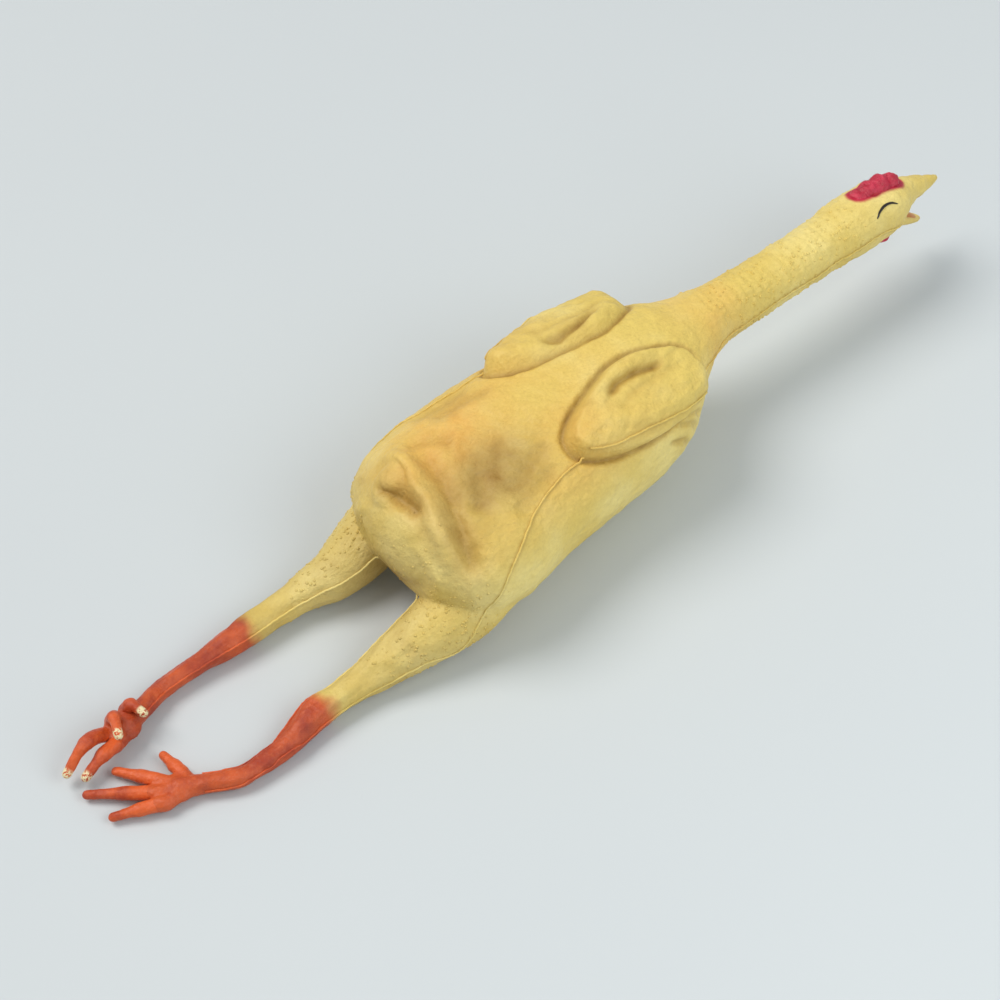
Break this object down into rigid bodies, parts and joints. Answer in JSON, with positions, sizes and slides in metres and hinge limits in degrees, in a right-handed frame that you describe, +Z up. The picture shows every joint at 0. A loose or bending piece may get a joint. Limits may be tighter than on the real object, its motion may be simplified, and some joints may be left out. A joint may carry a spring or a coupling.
{
  "type": "rubber chicken",
  "caption": "Plucked rubber chicken stage prop: hollow latex body lying on its belly, long floppy neck, open beak, comb, folded wings, jointed legs and splayed toes.",
  "frame": {"origin": "on the floor, in the flat spot of the belly", "axes": "+X along the neck to the beak, +Y the left side of the bird, +Z up from the belly to the back"},
  "size_m": [0.4891, 0.0972, 0.0725],
  "materials": {
    "latex_yellow": "matt slush-moulded latex",
    "latex_olive": "matt slush-moulded latex with a darker airbrushed shade",
    "latex_beak": "matt latex, orange-brown inside",
    "paint_orange": "orange latex paint, slightly glossy, chipped at the toe tips",
    "paint_crimson": "crimson latex paint, soft sprayed edge"
  },
  "bodies": {
    "torso": {"torso": "latex_yellow", "tail": "latex_olive", "right_wing": "latex_yellow", "left_wing": "latex_yellow"},
    "neck_lower": {"neck_lower": "latex_yellow"},
    "neck_middle": {"neck_middle": "latex_yellow"},
    "neck_upper": {"neck_upper": "latex_yellow"},
    "head": {"head": "latex_yellow", "comb": "paint_crimson", "wattle": "paint_crimson"},
    "jaw": {"lower_beak": "latex_beak"},
    "right_thigh": {"right_thigh": "latex_yellow"},
    "right_shin": {"right_shin": "latex_olive"},
    "right_shank": {"right_shank": "paint_orange"},
    "right_foot": {"right_foot": "paint_orange"},
    "right_back_toe": {"right_back_toe": "paint_orange"},
    "right_inner_toe": {"right_inner_toe": "paint_orange"},
    "right_middle_toe": {"right_middle_toe": "paint_orange"},
    "right_outer_toe": {"right_outer_toe": "paint_orange"},
    "left_thigh": {"left_thigh": "latex_yellow"},
    "left_shin": {"left_shin": "latex_olive"},
    "left_shank": {"left_shank": "paint_orange"},
    "left_foot": {"left_foot": "paint_orange"},
    "left_back_toe": {"left_back_toe": "paint_orange"},
    "left_inner_toe": {"left_inner_toe": "paint_orange"},
    "left_middle_toe": {"left_middle_toe": "paint_orange"},
    "left_outer_toe": {"left_outer_toe": "paint_orange"}
  },
  "joints": [
    {"name": "neck_root_nod", "type": "hinge", "parent": "torso", "child": "neck_lower", "pos_m": [0.102, 0.002, 0.046], "axis": [0, -1, 0], "range_deg": [-28, 28], "stiffness_Nm_per_rad": 2},
    {"name": "neck_sway", "type": "hinge", "parent": "neck_lower", "child": "neck_middle", "pos_m": [0.12698, 0.00104, 0.046], "axis": [0, 0, 1], "range_deg": [-28, 28], "stiffness_Nm_per_rad": 1.2},
    {"name": "neck_nod", "type": "hinge", "parent": "neck_middle", "child": "neck_upper", "pos_m": [0.15197, 0.00034, 0.046], "axis": [0, -1, 0], "range_deg": [-28, 28], "stiffness_Nm_per_rad": 1.2},
    {"name": "head_turn", "type": "hinge", "parent": "neck_upper", "child": "head", "pos_m": [0.17697, -0.00001, 0.046], "axis": [0, 0, 1], "range_deg": [-26, 26], "stiffness_Nm_per_rad": 1},
    {"name": "beak_open", "type": "hinge", "parent": "head", "child": "jaw", "pos_m": [0.21697, -0.00001, 0.037], "axis": [0, 1, 0], "range_deg": [-33, 6], "stiffness_Nm_per_rad": 0.05},
    {"name": "right_hip_lift", "type": "hinge", "parent": "torso", "child": "right_thigh", "pos_m": [-0.097, -0.03005, 0.013], "axis": [0, 1, 0], "range_deg": [-26, 26], "stiffness_Nm_per_rad": 0.6},
    {"name": "right_knee_spread", "type": "hinge", "parent": "right_thigh", "child": "right_shin", "pos_m": [-0.11947, -0.02805, 0.00849], "axis": [0, 0, 1], "range_deg": [0, 26], "stiffness_Nm_per_rad": 0.4},
    {"name": "right_hock_bend", "type": "hinge", "parent": "right_shin", "child": "right_shank", "pos_m": [-0.14502, -0.02724, 0.0072], "axis": [0, 1, 0], "range_deg": [-26, 26], "stiffness_Nm_per_rad": 0.3},
    {"name": "right_ankle_bend", "type": "hinge", "parent": "right_shank", "child": "right_foot", "pos_m": [-0.19093, -0.02901, 0.00503], "axis": [0, 1, 0], "range_deg": [-26, 26], "stiffness_Nm_per_rad": 0.1},
    {"name": "right_back_toe_curl", "type": "hinge", "parent": "right_foot", "child": "right_back_toe", "pos_m": [-0.20447, -0.01271, 0.00468], "axis": [-0.9997, -0.0175, -0.0148], "range_deg": [-24, 24], "stiffness_Nm_per_rad": 0.004},
    {"name": "right_inner_toe_curl", "type": "hinge", "parent": "right_foot", "child": "right_inner_toe", "pos_m": [-0.21409, -0.00891, 0.0045], "axis": [-0.848, -0.53, -0.0079], "range_deg": [-24, 24], "stiffness_Nm_per_rad": 0.004},
    {"name": "right_middle_toe_curl", "type": "hinge", "parent": "right_foot", "child": "right_middle_toe", "pos_m": [-0.21954, -0.01217, 0.00445], "axis": [-0.656, -0.7547, -0.003], "range_deg": [-24, 24], "stiffness_Nm_per_rad": 0.004},
    {"name": "right_outer_toe_curl", "type": "hinge", "parent": "right_foot", "child": "right_outer_toe", "pos_m": [-0.22042, -0.01887, 0.0045], "axis": [-0.4226, -0.9063, 0.0018], "range_deg": [-24, 24], "stiffness_Nm_per_rad": 0.004},
    {"name": "left_hip_lift", "type": "hinge", "parent": "torso", "child": "left_thigh", "pos_m": [-0.094, 0.02045, 0.013], "axis": [0, 1, 0], "range_deg": [-26, 26], "stiffness_Nm_per_rad": 0.6},
    {"name": "left_knee_spread", "type": "hinge", "parent": "left_thigh", "child": "left_shin", "pos_m": [-0.11638, 0.02371, 0.00881], "axis": [0, 0, -1], "range_deg": [0, 26], "stiffness_Nm_per_rad": 0.4},
    {"name": "left_hock_bend", "type": "hinge", "parent": "left_shin", "child": "left_shank", "pos_m": [-0.14193, 0.02452, 0.00742], "axis": [0, 1, 0], "range_deg": [-26, 26], "stiffness_Nm_per_rad": 0.3},
    {"name": "left_ankle_bend", "type": "hinge", "parent": "left_shank", "child": "left_foot", "pos_m": [-0.1879, 0.02508, 0.00582], "axis": [0, 1, 0], "range_deg": [-26, 26], "stiffness_Nm_per_rad": 0.1},
    {"name": "left_back_toe_curl", "type": "hinge", "parent": "left_foot", "child": "left_back_toe", "pos_m": [-0.20397, 0.02411, 0.0097], "axis": [0.9745, 0.2069, -0.0869], "range_deg": [-24, 10], "stiffness_Nm_per_rad": 0.004},
    {"name": "left_inner_toe_curl", "type": "hinge", "parent": "left_foot", "child": "left_inner_toe", "pos_m": [-0.21187, 0.02289, 0.0109], "axis": [0.8961, -0.4392, -0.0648], "range_deg": [-24, 24], "stiffness_Nm_per_rad": 0.004},
    {"name": "left_middle_toe_curl", "type": "hinge", "parent": "left_foot", "child": "left_middle_toe", "pos_m": [-0.21832, 0.02093, 0.00848], "axis": [0.2082, -0.9781, 0.0061], "range_deg": [-24, 24], "stiffness_Nm_per_rad": 0.004},
    {"name": "left_outer_toe_curl", "type": "hinge", "parent": "left_foot", "child": "left_outer_toe", "pos_m": [-0.217, 0.01424, 0.00752], "axis": [0.1911, -0.9815, 0.0076], "range_deg": [-24, 24], "stiffness_Nm_per_rad": 0.004}
  ]
}
